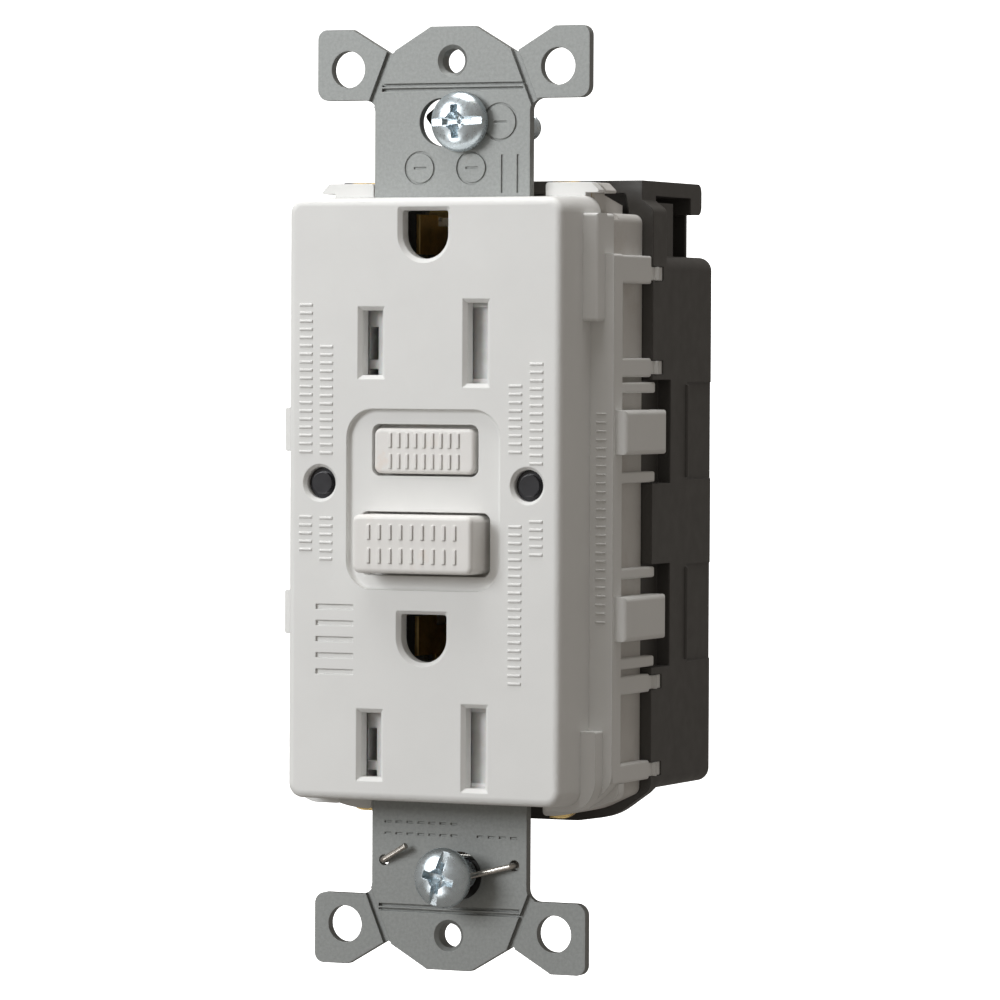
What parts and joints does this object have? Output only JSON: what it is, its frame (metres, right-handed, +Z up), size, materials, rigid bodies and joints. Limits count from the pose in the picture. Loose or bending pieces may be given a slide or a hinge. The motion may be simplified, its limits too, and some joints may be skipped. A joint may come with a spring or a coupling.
{
  "type": "gfci outlet",
  "caption": "Duplex ground-fault receptacle with test and reset buttons, tamper shutters and a rear plug-in wiring socket on a metal mounting strap.",
  "frame": {"origin": "middle of the mounting strap's front face, half way between the two box screws", "axes": "+Z up along the strap, +X to the viewer's right, -Y out of the wall towards the viewer, +Y along the box screws into the box"},
  "size_m": [0.042, 0.0387, 0.1046],
  "materials": {
    "cover_white": "fine matt grain",
    "support_white": "matt",
    "button_white": "satin",
    "shutter_grey": "satin, slightly translucent",
    "housing_black": "matt with a slight sheen",
    "strap_zinc": "dull zinc plate",
    "screw_zinc": "bright blue zinc plate",
    "spring_steel": "bright wire",
    "soft_iron": "dull nickel",
    "brass": "tarnished",
    "copper_wire": "enamelled",
    "contact_silver": "polished",
    "fibre_black": "fibre board",
    "lens_smoke": "smoked clear",
    "board_green": "solder mask",
    "ferrite": "coated",
    "insulation_white": "smooth",
    "varistor_blue": "dipped",
    "capacitor_yellow": "moulded",
    "chip_black": "moulded",
    "resistor_tan": "dipped",
    "lamp_clear": "tinted"
  },
  "bodies": {
    "outlet": {"arm_post_left": "brass", "arm_post_right": "brass", "capacitor": "capacitor_yellow", "circuit_board": "board_green", "contact_strip_left": "brass", "contact_strip_right": "brass", "control_chip": "chip_black", "diodes": "chip_black", "fixed_contact_left": "brass", "fixed_contact_right": "brass", "front_cover": "cover_white", "ground_contact_lower": "brass", "ground_contact_upper": "brass", "ground_frame": "brass", "ground_pin": "brass", "ground_rivets": "brass", "grounding_clip": "spring_steel", "lamp_left": "lamp_clear", "lamp_right": "lamp_clear", "light_pipe_left": "lens_smoke", "light_pipe_right": "lens_smoke", "line_conductors": "insulation_white", "line_pins": "brass", "load_pins": "brass", "middle_support": "support_white", "mounting_strap": "strap_zinc", "plunger_spring": "spring_steel", "rear_housing": "housing_black", "reset_spring": "spring_steel", "resistors": "resistor_tan", "shutter_frame_lower": "support_white", "shutter_frame_upper": "support_white", "shutter_spring_lower": "spring_steel", "shutter_spring_upper": "spring_steel", "solenoid_bobbin": "support_white", "solenoid_frame": "soft_iron", "solenoid_winding": "copper_wire", "test_blade": "brass", "test_spring": "spring_steel", "thyristor": "chip_black", "transformer_cores": "ferrite", "transformer_windings": "copper_wire", "varistor": "varistor_blue"},
    "test": {"test_button": "button_white"},
    "reset": {"reset_button": "button_white", "reset_pin": "spring_steel"},
    "latch": {"latch_plate": "spring_steel", "solenoid_plunger": "soft_iron"},
    "carrier": {"contact_carrier": "support_white"},
    "arm_left": {"contact_arm_left": "brass", "moving_contact_left": "contact_silver"},
    "arm_right": {"contact_arm_right": "brass", "moving_contact_right": "contact_silver"},
    "shutter_upper": {"shutter_upper": "shutter_grey"},
    "shutter_lower": {"shutter_lower": "shutter_grey"},
    "washer_top": {"screw_washer_top": "fibre_black"},
    "washer_bottom": {"screw_washer_bottom": "fibre_black"},
    "screw_top": {"box_screw_top": "screw_zinc"},
    "screw_bottom": {"box_screw_bottom": "screw_zinc"}
  },
  "joints": [
    {"name": "test_press", "type": "slide", "parent": "outlet", "child": "test", "axis": [0, 1, 0], "range_m": [0, 0.0012], "stiffness_N_per_m": 900, "springref_m": -0.001, "deforming": ["test_spring", "test_blade"]},
    {"name": "reset_press", "type": "slide", "parent": "outlet", "child": "reset", "axis": [0, 1, 0], "range_m": [0, 0.003], "stiffness_N_per_m": 900, "springref_m": -0.0015, "deforming": ["reset_spring"]},
    {"name": "latch_pull", "type": "slide", "parent": "outlet", "child": "latch", "axis": [0, 0, -1], "range_m": [0, 0.0015], "stiffness_N_per_m": 250, "springref_m": -0.001, "deforming": ["plunger_spring"]},
    {"name": "carrier_lift", "type": "slide", "parent": "outlet", "child": "carrier", "axis": [0, -1, 0], "range_m": [0, 0.0007], "stiffness_N_per_m": 300, "springref_m": -0.0007},
    {"name": "arm_left_swing", "type": "hinge", "parent": "outlet", "child": "arm_left", "pos_m": [-0.0095, 0.01485, -0.0126], "axis": [1, 0, 0], "range_deg": [0, 5.13]},
    {"name": "arm_right_swing", "type": "hinge", "parent": "outlet", "child": "arm_right", "pos_m": [0.0095, 0.01485, -0.0126], "axis": [1, 0, 0], "range_deg": [0, 5.13]},
    {"name": "shutter_upper_slide", "type": "slide", "parent": "outlet", "child": "shutter_upper", "axis": [1, 0, 0], "range_m": [0, 0.003], "stiffness_N_per_m": 150, "springref_m": -0.001, "deforming": ["shutter_spring_upper"]},
    {"name": "shutter_lower_slide", "type": "slide", "parent": "outlet", "child": "shutter_lower", "axis": [1, 0, 0], "range_m": [0, 0.003], "stiffness_N_per_m": 150, "springref_m": -0.001, "deforming": ["shutter_spring_lower"]},
    {"name": "screw_top_shift", "type": "slide", "parent": "outlet", "child": "washer_top", "axis": [1, 0, 0], "range_m": [-0.00338, 0.00092]},
    {"name": "screw_bottom_shift", "type": "slide", "parent": "outlet", "child": "washer_bottom", "axis": [1, 0, 0], "range_m": [-0.003, 0.0013], "deforming": ["grounding_clip"]},
    {"name": "screw_top_turn", "type": "hinge", "parent": "washer_top", "child": "screw_top", "pos_m": [0.00125, 0, 0.04167], "axis": [0, 1, 0], "continuous": true},
    {"name": "screw_bottom_turn", "type": "hinge", "parent": "washer_bottom", "child": "screw_bottom", "pos_m": [0.00083, 0, -0.04167], "axis": [0, 1, 0], "continuous": true}
  ],
  "couplings": [
    {"joint": "arm_left_swing", "follows": "carrier_lift", "rad_per_m": 127.78},
    {"joint": "arm_right_swing", "follows": "carrier_lift", "rad_per_m": 127.78}
  ]
}
